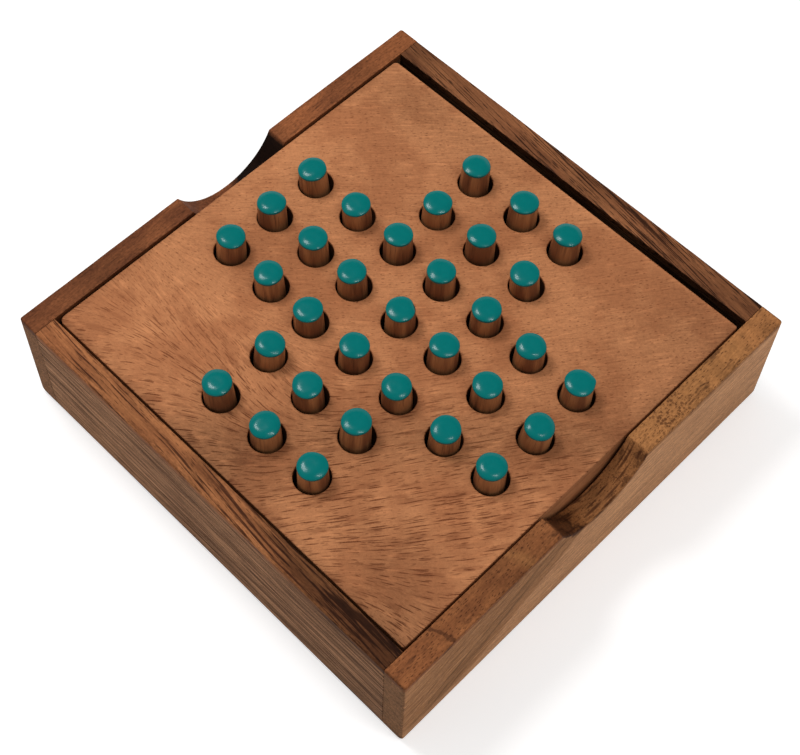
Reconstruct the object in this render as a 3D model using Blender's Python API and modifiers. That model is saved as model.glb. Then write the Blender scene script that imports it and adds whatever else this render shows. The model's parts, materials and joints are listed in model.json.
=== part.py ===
"""Peg solitaire game: a square wooden tray, a loose peg board let into it and a peg in every hole.

Metres, +Z up. The origin is the middle of the tray's underside. The two walls with thumb scoops
stand at -X and +X, and the other two walls fit between them.
"""

import math

import bmesh
import bpy
from mathutils import Euler, Vector

# Tray
tray_width = 0.1300             # along X, over the scooped walls
tray_length = 0.1305            # along Y
tray_height = 0.0352
left_wall = 0.0061              # wall thicknesses, at -X, +X, -Y and +Y
right_wall = 0.0062
front_wall = 0.0059
back_wall = 0.0065
corner_round = 0.0007           # upright outer corners
foot_round = 0.0012             # outer edges that meet the table
rim_round = 0.0004              # all edges of the rim
glue_gap = 0.0003               # between pieces that are glued or that rest on each other
bottom_thickness = 0.0040
strip_width = 0.0050            # strips inside the walls, which carry the peg board

# Thumb scoops, one cut by hand in each of the walls at -X and +X
left_scoop_radius = 0.0177
left_scoop_depth = 0.0095
left_scoop_shift = 0.0008       # off the wall's middle, towards +Y
right_scoop_radius = 0.0165
right_scoop_depth = 0.0095

# Peg board
board_thickness = 0.0120
board_sink = 0.0008             # how far its face lies under the rim
board_corner_round = 0.0012
board_edge_round = 0.0005
board_gap_left = 0.0004         # between board and wall, as the board lies
board_gap_right = 0.0007
board_gap_front = 0.0008
board_gap_back = 0.0021
hole_diameter = 0.0091
hole_floor = 0.0030             # wood left under each hole
hole_margin_left = 0.01415      # from the board's edges to the outermost columns and rows of holes
hole_margin_right = 0.01485
hole_margin_front = 0.01395
hole_margin_back = 0.01365
drill_miss = 0.0010             # the farthest that a hole was drilled off its place

# Pegs
peg_clearance = 0.0013          # hole diameter less the peg's foot
peg_taper = 0.0009              # foot diameter less the head's
peg_stand = 0.0069              # how far a peg shows above the board
peg_foot_chamfer = 0.0005
peg_head_round = 0.0008
peg_dome = 0.0003               # rise of the painted end's middle
peg_least_gap = 0.0001          # a leaning peg's nearest approach to its hole as it slides out

# Helpers that only cut
overrun = 0.0050                # how far each cutter runs past what it cuts
round_steps = 3                 # facets across a rounded edge
scoop_sides = 96
hole_sides = 20
peg_sides = 20

# Holes on each row of the cross, by column letter, from the back row to the front one
cross_rows = {7: "cde", 6: "cde", 5: "abcdefg", 4: "abcdefg", 3: "abcdefg", 2: "cde", 1: "cde"}
columns = "abcdefg"

# Each hole and its peg. The first pair says how far the hole was drilled off its place in the grid,
# along X and Y, as shares of drill_miss. The second says where the peg's axis crosses the board's
# face, and the third where its foot rests, as shares of the play of the peg's foot in the hole.
place_shares = {
    "c7": (-0.9, -0.4, -0.5, 0.4, -0.3, -0.7), "d7": (0.0, 0.1, 0.4, 0.6, 0.5, 0.1),
    "e7": (-0.2, 0.3, -0.1, 0.6, 0.1, -0.3), "c6": (-0.7, 0.0, 0.3, -0.3, -0.4, 0.0),
    "d6": (-0.2, 0.1, -0.4, 0.1, -0.3, -0.4), "e6": (0.1, 0.4, -0.1, -0.6, 0.4, 0.6),
    "a5": (0.0, -0.3, -0.3, -0.4, 0.2, 0.2), "b5": (0.1, 0.1, 0.6, -0.4, 0.4, 0.8),
    "c5": (-0.2, 0.0, 0.0, 0.7, 0.5, 0.1), "d5": (0.0, 0.2, -0.2, 0.2, 0.1, -0.1),
    "e5": (0.0, 0.3, 0.4, 0.1, 0.1, 0.2), "f5": (-0.5, 0.5, 0.7, -0.1, 0.1, 0.4),
    "g5": (-0.2, 0.9, 0.3, 0.1, -0.1, -0.1), "a4": (0.3, -0.2, -0.6, -0.5, -0.5, -0.7),
    "b4": (0.5, -0.2, -0.4, -0.3, -0.2, -0.3), "c4": (-0.4, -0.4, -0.4, -0.1, 0.0, -0.1),
    "d4": (0.1, 0.1, 0.6, 0.4, 0.4, 0.4), "e4": (-0.1, 0.2, 0.2, 0.4, 0.0, -0.1),
    "f4": (-0.4, 0.0, 0.5, 0.1, 0.2, 0.3), "g4": (0.5, 0.3, 0.5, 0.0, -0.8, -0.4),
    "a3": (0.2, -0.1, 0.2, 0.2, -0.2, -0.3), "b3": (0.2, -0.4, -0.2, -0.1, 0.1, 0.0),
    "c3": (-0.3, -0.6, -0.1, -0.3, -0.1, 0.0), "d3": (-0.4, -0.2, 0.3, 0.3, 0.0, 0.0),
    "e3": (0.0, -0.3, 0.0, -0.4, -0.1, 0.2), "f3": (0.5, -0.5, 0.8, -0.1, -0.1, 0.4),
    "g3": (0.3, -0.1, 0.1, 0.0, -0.1, 0.0), "c2": (-0.5, 0.5, 0.7, 0.3, -0.4, -0.1),
    "d2": (-0.1, -0.2, -0.2, -0.4, -0.2, -0.1), "e2": (0.4, 0.3, -0.5, 0.2, -0.4, -0.8),
    "c1": (-0.4, -0.3, -0.3, -0.1, 0.2, 0.0), "d1": (0.3, 0.2, 0.2, -0.2, -0.1, 0.1),
    "e1": (0.6, 0.4, 0.8, 0.3, 0.4, 0.8),
}

# Worked out from the sizes above
inner_low = Vector((left_wall - tray_width / 2, front_wall - tray_length / 2, 0))
inner_high = Vector((tray_width / 2 - right_wall, tray_length / 2 - back_wall, tray_height))
board_low = inner_low + Vector((board_gap_left, board_gap_front,
                                tray_height - board_sink - board_thickness))
board_high = inner_high - Vector((board_gap_right, board_gap_back, board_sink))
first_hole = board_low + Vector((hole_margin_left, hole_margin_front, board_thickness))
last_hole = board_high - Vector((hole_margin_right, hole_margin_back, 0))
column_pitch = (last_hole.x - first_hole.x) / (len(columns) - 1)
row_pitch = (last_hole.y - first_hole.y) / (len(cross_rows) - 1)
hole_depth = board_thickness - hole_floor
peg_foot_radius = (hole_diameter - peg_clearance) / 2
peg_head_radius = peg_foot_radius - peg_taper / 2
peg_length = hole_depth - glue_gap + peg_stand


def clear_scene():
    for old in list(bpy.data.objects):
        bpy.data.objects.remove(old, do_unlink=True)
    for old in list(bpy.data.collections):
        bpy.data.collections.remove(old)


def new_collection(name):
    made = bpy.data.collections.new(name)
    bpy.context.scene.collection.children.link(made)
    return made


def new_material(name, colour, roughness):
    made = bpy.data.materials.new(name)
    made.use_nodes = True
    made.diffuse_color = (*colour, 1)
    shader = made.node_tree.nodes["Principled BSDF"]
    shader.inputs["Base Color"].default_value = (*colour, 1)
    shader.inputs["Roughness"].default_value = roughness
    shader.inputs["Metallic"].default_value = 0
    return made


def new_object(name, mesh, material, collection):
    made = bpy.data.objects.new(name, mesh)
    if material and not mesh.materials:
        mesh.materials.append(material)
    collection.objects.link(made)
    return made


def as_cutter(piece):
    piece.hide_render = True
    piece.display_type = "WIRE"
    return piece


def block(name, low, high, material, collection):
    """A plain block between two corners, with its origin at its middle."""
    low, high = Vector(low), Vector(high)
    mesh = bpy.data.meshes.new(name)
    form = bmesh.new()
    bmesh.ops.create_cube(form, size=1)
    bmesh.ops.scale(form, vec=high - low, verts=form.verts)
    form.to_mesh(mesh)
    form.free()
    made = new_object(name, mesh, material, collection)
    made.location = (low + high) / 2
    return made


def round_edges(piece, radius_of_edge):
    """Rounds the edges for which radius_of_edge(middle, direction) gives a radius, in one Bevel by weight.

    Both vectors are in the piece's own frame, whose middle is zero.
    """
    mesh = piece.data
    radii = []
    for edge in mesh.edges:
        start, end = (mesh.vertices[i].co for i in edge.vertices)
        radii.append(radius_of_edge((start + end) / 2, (end - start).normalized()))
    widest = max(radii)
    weights = mesh.attributes.new("bevel_weight_edge", "FLOAT", "EDGE")
    weights.data.foreach_set("value", [radius / widest for radius in radii])
    bevel = piece.modifiers.new("Rounded edges", "BEVEL")
    bevel.limit_method = "WEIGHT"
    bevel.offset_type = "OFFSET"
    bevel.width = widest
    bevel.segments = round_steps
    bevel.use_clamp_overlap = True


def cut(piece, cutter, name):
    boolean = piece.modifiers.new(name, "BOOLEAN")
    boolean.operation = "DIFFERENCE"
    boolean.solver = "EXACT"
    boolean.object = cutter


def wall_edge_radius(outward, ends_show):
    """The rounding of a wall whose outer face looks along outward, with or without its ends on show."""
    def radius(middle, direction):
        if abs(direction.z) > 0.5:
            return corner_round if ends_show and middle.dot(outward) > 0 else 0
        if middle.z > 0:
            along_wall = abs(direction.dot(outward)) < 0.5
            return rim_round if along_wall or ends_show else 0
        outer_edge = middle.dot(outward) > 0 and abs(direction.dot(outward)) < 0.5
        end_edge = ends_show and abs(direction.dot(outward)) > 0.5
        return foot_round if outer_edge or end_edge else 0
    return radius


def scoop_cutter(name, wall_middle, radius, depth, shift, collection):
    """A cylinder along X, longer than its wall is thick, whose lowest line is the scoop's floor."""
    mesh = bpy.data.meshes.new(name)
    form = bmesh.new()
    bmesh.ops.create_cone(form, cap_ends=True, segments=scoop_sides, radius1=radius, radius2=radius,
                          depth=left_wall + right_wall + overrun)
    form.to_mesh(mesh)
    form.free()
    cutter = as_cutter(new_object(name, mesh, None, collection))
    cutter.rotation_euler = Euler((0, math.radians(90), 0))
    cutter.location = (wall_middle, shift, tray_height + radius - depth)
    return cutter


def scooped_wall(name, start, end, scoop, material, collection, cutters):
    """A wall from start to end along X, which runs the tray's whole length and shows its end grain."""
    half_length = tray_length / 2
    wall = block(name, (start, -half_length, 0), (end, half_length, tray_height),
                 material, collection)
    round_edges(wall, wall_edge_radius(Vector((math.copysign(1, start), 0, 0)), True))
    radius, depth, shift = scoop
    cutter = scoop_cutter(f"{name}_scoop", (start + end) / 2, radius, depth, shift, cutters)
    cut(wall, cutter, "Thumb scoop")
    return wall


def scooped_walls(material, collection, cutters):
    left_scoop = (left_scoop_radius, left_scoop_depth, left_scoop_shift)
    right_scoop = (right_scoop_radius, right_scoop_depth, 0)
    left = scooped_wall("wall_left", -tray_width / 2, inner_low.x, left_scoop,
                        material, collection, cutters)
    right = scooped_wall("wall_right", inner_high.x, tray_width / 2, right_scoop,
                         material, collection, cutters)
    return [left, right]


def plain_walls(material, collection):
    """The walls at -Y and +Y, butted and glued between the scooped ones."""
    half_length = tray_length / 2
    left, right = inner_low.x + glue_gap, inner_high.x - glue_gap
    spans = {"wall_front": (-half_length, inner_low.y), "wall_back": (inner_high.y, half_length)}
    walls = []
    for name, (start, end) in spans.items():
        wall = block(name, (left, start, 0), (right, end, tray_height), material, collection)
        round_edges(wall, wall_edge_radius(Vector((0, math.copysign(1, start), 0)), False))
        walls.append(wall)
    return walls


def bottom_panel(material, collection):
    """The thin floor, let in between the walls and flush with their feet."""
    low = (inner_low.x + glue_gap, inner_low.y + glue_gap, 0)
    high = (inner_high.x - glue_gap, inner_high.y - glue_gap, bottom_thickness)
    return block("bottom_panel", low, high, material, collection)


def support_strips(material, collection):
    """Four strips glued round the inside, standing on the floor, on which the peg board lies."""
    left, front = inner_low.x + glue_gap, inner_low.y + glue_gap
    right, back = inner_high.x - glue_gap, inner_high.y - glue_gap
    between_left, between_right = left + strip_width + glue_gap, right - strip_width - glue_gap
    plans = {
        "strip_left": (left, front, left + strip_width, back),
        "strip_right": (right - strip_width, front, right, back),
        "strip_front": (between_left, front, between_right, front + strip_width),
        "strip_back": (between_left, back - strip_width, between_right, back),
    }
    bottom, top = bottom_thickness + glue_gap, board_low.z - glue_gap
    return [block(name, (x1, y1, bottom), (x2, y2, top), material, collection)
            for name, (x1, y1, x2, y2) in plans.items()]


def hole_places():
    """The middle of each hole at the board's face, by its name, such as d4 for the centre."""
    places = {}
    for row, letters in cross_rows.items():
        for letter in letters:
            name = f"{letter}{row}"
            miss_x, miss_y = place_shares[name][:2]
            across = columns.index(letter) * column_pitch + miss_x * drill_miss
            along = (row - 1) * row_pitch + miss_y * drill_miss
            places[name] = first_hole + Vector((across, along, 0))
    return places


def hole_cutter(places, collection):
    """One cylinder for each hole, from above the board's face down to the hole's floor."""
    mesh = bpy.data.meshes.new("hole_cutter")
    form = bmesh.new()
    for place in places.values():
        made = bmesh.ops.create_cone(form, cap_ends=True, segments=hole_sides,
                                     radius1=hole_diameter / 2, radius2=hole_diameter / 2,
                                     depth=hole_depth + overrun)
        lift = Vector((0, 0, (overrun - hole_depth) / 2))
        bmesh.ops.translate(form, vec=place + lift, verts=made["verts"])
    form.to_mesh(mesh)
    form.free()
    return as_cutter(new_object("hole_cutter", mesh, None, collection))


def peg_board(places, material, collection, cutters):
    board = block("peg_board", board_low, board_high, material, collection)
    round_edges(board, lambda middle, direction: board_corner_round if abs(direction.z) > 0.5
                else board_edge_round)
    cut(board, hole_cutter(places, cutters), "Peg holes")
    return board


def peg_radius(height):
    """The straight taper from foot to head."""
    return peg_foot_radius + (peg_head_radius - peg_foot_radius) * height / peg_length


def peg_profile():
    """Half the peg's outline, from the middle of its painted end down to the middle of its foot."""
    shoulder = peg_length - peg_dome - peg_head_round
    outline = [(0, peg_length)]
    for step in range(round_steps + 1):
        turn = math.radians(90) * step / round_steps
        outline.append((peg_radius(shoulder) - peg_head_round * (1 - math.sin(turn)),
                        shoulder + peg_head_round * math.cos(turn)))
    outline.append((peg_radius(peg_foot_chamfer), peg_foot_chamfer))
    outline.append((peg_foot_radius - peg_foot_chamfer, 0))
    outline.append((0, 0))
    return outline


def peg_mesh(material):
    mesh = bpy.data.meshes.new("peg")
    points = [(across, 0, up) for across, up in peg_profile()]
    mesh.from_pydata(points, [(i, i + 1) for i in range(len(points) - 1)], [])
    mesh.materials.append(material)
    return mesh


def turn_peg(peg):
    """Turns the outline once round the peg's own axis."""
    screw = peg.modifiers.new("Turned", "SCREW")
    screw.axis = "Z"
    screw.angle = math.radians(360)
    screw.steps = peg_sides
    screw.render_steps = peg_sides
    screw.use_merge_vertices = True
    screw.merge_threshold = glue_gap / 10
    screw.use_smooth_shade = True


def stand_peg(name, place, mesh, collection):
    """Stands one peg in its hole, off its middle and leaning as its stance says."""
    play = hole_diameter / 2 - peg_foot_radius - peg_least_gap
    face_x, face_y, foot_x, foot_y = (share * play for share in place_shares[name][2:])
    face = place + Vector((face_x, face_y, 0))
    foot = place + Vector((foot_x, foot_y, glue_gap - hole_depth))
    axis = (face - foot).normalized()
    peg = new_object(f"peg_{name}", mesh, None, collection)
    turn_peg(peg)
    peg.rotation_mode = "QUATERNION"
    peg.rotation_quaternion = Vector((0, 0, 1)).rotation_difference(axis)
    lean = math.hypot(axis.x, axis.y)
    peg.location = foot + Vector((0, 0, (peg_foot_radius - peg_foot_chamfer) * lean))
    return peg


def follow(parent, children):
    """Parents the children with their places kept."""
    bpy.context.view_layer.update()
    for child in children:
        child.parent = parent
        child.matrix_parent_inverse = parent.matrix_world.inverted()


def smooth(pieces):
    for piece in pieces:
        piece.data.shade_smooth()
        piece.data.set_sharp_from_angle(angle=math.radians(40))


def build():
    clear_scene()
    parts = new_collection("peg_solitaire_game")
    cutters = new_collection("cutters")
    scooped_wood = new_material("golden_brown_wood", (0.24, 0.11, 0.05), 0.55)
    plain_wood = new_material("streaked_brown_wood", (0.19, 0.09, 0.045), 0.55)
    floor_wood = new_material("pale_bottom_wood", (0.33, 0.19, 0.10), 0.7)
    board_wood = new_material("orange_brown_wood", (0.36, 0.14, 0.06), 0.5)
    peg_paint = new_material("teal_painted_peg", (0.002, 0.147, 0.148), 0.25)

    tray = scooped_walls(scooped_wood, parts, cutters) + plain_walls(plain_wood, parts)
    tray.append(bottom_panel(floor_wood, parts))
    tray += support_strips(floor_wood, parts)

    places = hole_places()
    board = peg_board(places, board_wood, parts, cutters)
    mesh = peg_mesh(peg_paint)
    pegs = [stand_peg(name, place, mesh, parts) for name, place in places.items()]
    follow(board, pegs)
    smooth(tray + [board])


build()
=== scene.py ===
import json
import math

import bmesh
import bpy
import numpy as np
from mathutils import Matrix, Vector


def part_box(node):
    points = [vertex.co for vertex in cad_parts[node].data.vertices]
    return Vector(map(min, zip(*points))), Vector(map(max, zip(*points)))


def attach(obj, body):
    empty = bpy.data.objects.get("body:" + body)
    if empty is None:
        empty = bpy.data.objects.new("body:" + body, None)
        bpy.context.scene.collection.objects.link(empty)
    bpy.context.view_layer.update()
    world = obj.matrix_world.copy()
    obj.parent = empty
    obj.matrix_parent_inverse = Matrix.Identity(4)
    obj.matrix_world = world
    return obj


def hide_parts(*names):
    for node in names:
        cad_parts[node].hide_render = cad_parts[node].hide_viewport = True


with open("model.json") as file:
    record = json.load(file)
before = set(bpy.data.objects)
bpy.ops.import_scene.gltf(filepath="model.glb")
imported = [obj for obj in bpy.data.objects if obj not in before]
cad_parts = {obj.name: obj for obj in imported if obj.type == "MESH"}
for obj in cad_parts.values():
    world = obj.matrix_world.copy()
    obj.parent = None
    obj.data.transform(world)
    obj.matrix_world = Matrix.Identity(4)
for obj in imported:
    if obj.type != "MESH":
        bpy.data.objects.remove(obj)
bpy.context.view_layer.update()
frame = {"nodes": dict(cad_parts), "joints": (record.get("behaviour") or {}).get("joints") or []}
mm = 0.001
weldDistance = 0.002 * mm  # points closer than this become one
quarterTurn = np.pi / 2
corners = ((1, 1), (-1, 1), (-1, -1), (1, -1))  # the order of a loop's corners, by their sides
print("frame loaded:", len(frame["nodes"]), "CAD nodes")


def boxOf(node):
    # lowest and highest corner of a CAD node, in millimetres
    low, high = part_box(node)
    return np.array(low) / mm, np.array(high) / mm


def pointsOf(node):
    # the points of a CAD node's mesh, in millimetres
    mesh = frame["nodes"][node].data
    spots = np.empty(len(mesh.vertices) * 3, np.float32)
    mesh.vertices.foreach_get("co", spots)
    return spots.reshape(-1, 3).astype(float) / mm


def placed(name, data):
    # a new object in the scene
    thing = bpy.data.objects.new(name, data)
    bpy.context.scene.collection.objects.link(thing)
    return thing


def gridFaces(rows, cols, start=0):
    # four-sided faces of a grid of rows whose columns close on themselves
    r, c = np.meshgrid(np.arange(rows - 1), np.arange(cols), indexing="ij")
    n = (c + 1) % cols
    faces = np.stack([r * cols + c, r * cols + n, (r + 1) * cols + n, (r + 1) * cols + c], -1)
    return start + faces.reshape(-1, 4)


def newPiece(name, points, faces, values, body, nodes):
    # points in mm; a collapsed ring closes a pole, and merging turns its quads into triangles
    mesh = bpy.data.meshes.new(name)
    mesh.from_pydata((points * mm).tolist(), [], faces.tolist())
    for key, data in values.items():
        kind, field = ("FLOAT", "value") if data.ndim == 1 else ("FLOAT_VECTOR", "vector")
        layer = mesh.attributes.new(key, kind, "POINT")
        layer.data.foreach_set(field, np.ascontiguousarray(data, np.float32).ravel())
    form = bmesh.new()
    form.from_mesh(mesh)
    bmesh.ops.remove_doubles(form, verts=form.verts, dist=weldDistance)
    bmesh.ops.recalc_face_normals(form, faces=form.faces)
    form.to_mesh(mesh)
    form.free()
    mesh.shade_smooth()
    piece = placed(name, mesh)
    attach(piece, body)
    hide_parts(*nodes)
    return piece


def sines(place, seed, parts):
    # a sum of sines, each given by how fast it runs, how far the seed moves it and its size
    return sum(size * np.sin(place * speed + seed * phase) for speed, phase, size in parts)


# Bars: the walls, the strips and the bottom. A rounded rectangle is carried along a line, and its
# top edge may dip along a circle for a thumb scoop.

barForm = {
    "endSteps": np.array([0, 0.02, 0.06, 0.13, 0.22, 0.34, 0.5, 0.7, 0.95, 1.2, 1.4]),  # rings at an end
    "runStep": 1.6,  # between the rings along a level rim
    "filletRings": 8,  # round each fillet of a scoop
    "scoopRings": 58,  # round its circle
    "arcSteps": 5,  # round each corner of a ring
    "sideShares": np.array([0.014, 0.07, 0.2, 0.35, 0.5, 0.65, 0.8, 0.93, 0.986]),  # its points up a side
    "capShares": np.array([0.97, 0.6, 0.25, 0]),  # rings across an end face
    "capReach": 3,  # half of a wall's thickness
    "footInner": 0.15,  # rounding of the inner edge below
    "wearFade": 0.45,  # wear falls by e with each such step away from an edge
    "scoopFade": 1.2,  # a scoop's own look sets in over this depth
    "scoopBand": 0.8,  # and reaches this far down the faces beside it
    "rippleWave": 9.0,
    "ripple": ((1, 1, 1), (2.7, 3.1, 0.6), (6.1, 5.3, 0.35)),
}


def ripple(along, seed):
    # a slow uneven line from -1 to 1: three sines whose lengths don't repeat together
    parts = barForm["ripple"]
    return sines(along / barForm["rippleWave"], seed, parts) / sum(size for _, _, size in parts)


def edgeInset(radius, away):
    # how far a face draws in near an end that is rounded by a quarter circle: the radius less the root of
    # (its square less the square of what is left to the rounding's end)
    near = np.clip(radius - away, 0, None)
    return radius - np.sqrt(np.clip(radius ** 2 - near ** 2, 0, None))


def roundedLoops(a0, a1, b0, b1, radii):
    # one rounded rectangle for each ring: a quarter circle at each corner and a straight run up each side.
    # The wear is 1 at the corners and falls away from them.
    turn = np.linspace(0, quarterTurn, barForm["arcSteps"] + 1)
    shares = barForm["sideShares"]
    arcs = []
    for k, (signA, signB) in enumerate(corners):
        r = radii[k][:, None]
        middleA = (a1 if signA > 0 else a0)[:, None] - signA * r
        middleB = (b1 if signB > 0 else b0)[:, None] - signB * r
        angle = turn[None] + k * quarterTurn
        arcs.append((middleA + r * np.cos(angle), middleB + r * np.sin(angle)))
    loopA, loopB, wear = [], [], []
    for (arcA, arcB), (nextA, nextB) in zip(arcs, arcs[1:] + arcs[:1]):
        runA, runB = nextA[:, :1] - arcA[:, -1:], nextB[:, :1] - arcB[:, -1:]
        away = np.hypot(runA, runB) * np.minimum(shares, 1 - shares)
        loopA += [arcA, arcA[:, -1:] + runA * shares]
        loopB += [arcB, arcB[:, -1:] + runB * shares]
        wear += [np.ones_like(arcA), np.exp(-away / barForm["wearFade"])]
    return np.hstack(loopA), np.hstack(loopB), np.hstack(wear)


def levelRun(start, end):
    return np.linspace(start, end, max(3, int(abs(end - start) / barForm["runStep"])), endpoint=False)


def scoopLine(start, end, rim, scoop):
    # the top edge from start to end: level, then round a small fillet into the scoop's circle and out again
    if not scoop:
        along = np.append(levelRun(start, end), end)
        return along, np.full_like(along, rim)
    middle, deep, radius, fillet = scoop["middle"], scoop["deep"], scoop["radius"], scoop["fillet"]
    centre = rim + radius - deep
    rise = centre - rim + fillet  # from a fillet's centre to the circle's
    reach = math.sqrt((radius + fillet) ** 2 - rise ** 2)
    lean = math.atan2(reach, rise)  # of the line between both centres
    turn = np.linspace(0, lean, barForm["filletRings"])
    onFillet, belowRim = fillet * np.sin(turn), rim - fillet + fillet * np.cos(turn)
    arc = np.linspace(-lean, lean, barForm["scoopRings"])[1:-1]
    before, after = levelRun(start, middle - reach), levelRun(middle + reach, end)
    along = np.concatenate([before, middle - reach + onFillet, middle + radius * np.sin(arc),
                            (middle + reach - onFillet)[::-1], np.append(after[1:], end)])
    up = np.concatenate([np.full_like(before, rim), belowRim, centre - radius * np.cos(arc),
                         belowRim[::-1], np.full_like(after, rim)])
    return along, up


def bar(name, node, look):
    # a rounded loop for each place along the line: it draws in near the ends by edgeInset, its top follows
    # scoopLine, and ripple varies the rounding of its rim
    low, high = boxOf(node)
    line = look["along"]  # 0 for a bar along X, 1 along Y
    side = 1 - line
    low[line] -= look.get("reach", 0)
    high[line] += look.get("reach", 0)
    out = look["outward"]  # 1 where the outer face is at the higher side
    steps = barForm["endSteps"][:-1]
    margin = barForm["endSteps"][-1]
    along, top = scoopLine(low[line] + margin, high[line] - margin, high[2], look.get("scoop"))
    away = np.concatenate([steps, np.full_like(along, margin), steps[::-1]])
    along = np.concatenate([low[line] + steps, along, high[line] - steps[::-1]])
    top = np.concatenate([np.full_like(steps, high[2]), top, np.full_like(steps, high[2])])
    rounds = look["endRound"]
    outer, inner = edgeInset(rounds["outer"], away), edgeInset(rounds["inner"], away)
    a0 = low[side] + (inner if out > 0 else outer)
    a1 = high[side] - (outer if out > 0 else inner)
    b0 = low[2] + edgeInset(rounds["foot"], away)
    b1 = top - edgeInset(rounds["rim"], away)
    outerRim = look["rimRound"] * (1 + look["uneven"] * ripple(along, look["seed"]))
    innerRim = look["innerRound"] * (1 + look["uneven"] * ripple(along, look["seed"] + 2))
    footOut, footIn = np.full_like(along, look["footRound"]), np.full_like(along, barForm["footInner"])
    radii = [outerRim, innerRim, footIn, footOut] if out > 0 else [innerRim, outerRim, footOut, footIn]
    loopA, loopB, wear = roundedLoops(a0, a1, b0, b1, radii)
    wear = np.maximum(wear, np.exp(-away / barForm["wearFade"])[:, None])
    dip = np.clip((high[2] - top) / barForm["scoopFade"], 0, 1)[:, None]
    dip = dip * (loopB > top[:, None] - barForm["scoopBand"])
    points = np.zeros(loopA.shape + (3,))
    points[..., side], points[..., 2] = loopA, loopB
    points[..., line] = along[:, None]
    # each end is closed by its last ring, drawn in to its middle
    shares = barForm["capShares"][:, None]
    first, last = (ring.mean(0) + (ring - ring.mean(0)) * shares[..., None] for ring in points[[0, -1]])
    worn = np.exp(-(1 - shares) * barForm["capReach"] / barForm["wearFade"]) * np.ones((1, points.shape[1]))
    points = np.concatenate([first[::-1], points, last])
    wear = np.concatenate([worn[::-1], wear, worn])
    dip = np.concatenate([worn * 0, dip, worn * 0])
    faces = gridFaces(*points.shape[:2])
    values = {"wear": wear.ravel(), "scoop": dip.ravel()}
    return newPiece(name, points.reshape(-1, 3), faces, values, "tray", [node])


# roundings, in millimetres; the walls' inner rim is sharper than their outer one
openEnd = {"outer": 0.7, "inner": 0.15, "rim": 0.35, "foot": 1.2}
buttedEnd = {"outer": 0.08, "inner": 0.08, "rim": 0.08, "foot": 0.08}
softEnd = {"outer": 0.25, "inner": 0.25, "rim": 0.25, "foot": 0.25}
wallEdges = {"rimRound": 0.40, "innerRound": 0.18, "footRound": 1.2, "uneven": 0.3}
scooped = {"slot": "scooped_wall_wood", "along": 1, "endRound": openEnd, **wallEdges}
plain = {"slot": "plain_wall_wood", "along": 0, "endRound": buttedEnd, "reach": 0.24, **wallEdges}
walls = {
    "left": {**scooped, "outward": -1, "seed": 1.0,
             "scoop": {"middle": 0.8, "deep": 9.5, "radius": 17.7, "fillet": 0.35}},
    "right": {**scooped, "outward": 1, "seed": 4.2,
              "scoop": {"middle": 0.0, "deep": 9.5, "radius": 16.5, "fillet": 0.45}},
    "front": {**plain, "outward": -1, "seed": 2.6},
    "back": {**plain, "outward": 1, "seed": 7.9},
}
insideEdges = {"outward": 1, "endRound": softEnd, "rimRound": 0.25, "innerRound": 0.25, "footRound": 0.25,
               "uneven": 0.3}
inside = {
    "bottom": {"node": "bottom_panel", "along": 0},
    "left_strip": {"node": "strip_left", "along": 1},
    "right_strip": {"node": "strip_right", "along": 1},
    "front_strip": {"node": "strip_front", "along": 0},
    "back_strip": {"node": "strip_back", "along": 0},
}
wallPieces = {name: bar(f"{name}_wall", f"wall_{name}", look) for name, look in walls.items()}
insidePieces = {}
for name, look in inside.items():
    look = {**insideEdges, "seed": len(name), **look}
    insidePieces[name] = bar(name, look["node"], look)
print("tray:", len(wallPieces), "walls and", len(insidePieces), "inside pieces")


# The peg board: one square cell for each place of the seven by seven grid. A cell's rings run from its
# square outline to the mouth of its hole, over the lip, down the wall and across the floor.

board = {
    "places": 7, "pitch": 14.6, "sideSteps": 14,
    "holeRadius": 4.55, "holeDepth": 9.0, "lip": 0.22,
    "edgeRound": 0.2,
    "rimInset": 0.12,  # from the edge's rounding to the last ring on the flat
    "cornerRounds": (0.6, 1.2, 1.7, 0.7),
    "sharpest": 0.02,  # the least rounding of a corner
    "cornerSteps": 5,
    "turns": np.linspace(0, quarterTurn, 6),  # of the rings over a rounded edge
    "plainShares": (1, 0.7, 0.4, 0.15, 0),  # rings of a cell without a hole
    "mouthShares": (0, 0.35, 0.65, 0.85, 0.96),  # rings from a cell's outline to its hole
    "wallDepths": (0.5, 1.2, 2.5, 4.5, 6.5, 8.7, 8.95),  # rings down a hole's wall
    "floorShares": (1, 0.97, 0.5, 0),  # rings across its floor
    "sideShares": (0.02, 0.25, 0.5, 0.75, 0.98),  # rings down the board's sides
    "underShares": (1, 0.75, 0.5, 0.25, 0),  # rings across its underside
    "floorTolerance": 0.01,
}
boardLow, boardHigh = boxOf("peg_board")


def holeMiddles():
    # the middle of each hole, from the corners of the CAD board's hole floors
    spots = pointsOf("peg_board")
    floor = spots[np.abs(spots[:, 2] - (boardHigh[2] - board["holeDepth"])) < board["floorTolerance"]]
    centre = (floor[:, :2].min(0) + floor[:, :2].max(0)) / 2
    cell = np.rint((floor[:, :2] - centre) / board["pitch"]).astype(int)
    middles = {}
    for key in sorted(set(map(tuple, cell))):
        own = floor[(cell == key).all(1), :2]
        middles[key] = (own.min(0) + own.max(0)) / 2
    return middles


def squareLoop(steps):
    # points round the square from -1 to 1, evenly spaced, starting at (+1,+1)
    run = np.linspace(1, -1, steps, endpoint=False)
    one = np.ones(steps)
    return np.concatenate([np.stack([run, one], 1), np.stack([-one, run], 1),
                           np.stack([-run, -one], 1), np.stack([one, -run], 1)])


def rays(degrees):
    # arrows of length 1 that point in these directions
    return np.stack([np.cos(np.radians(degrees)), np.sin(np.radians(degrees))], 1)


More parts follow.
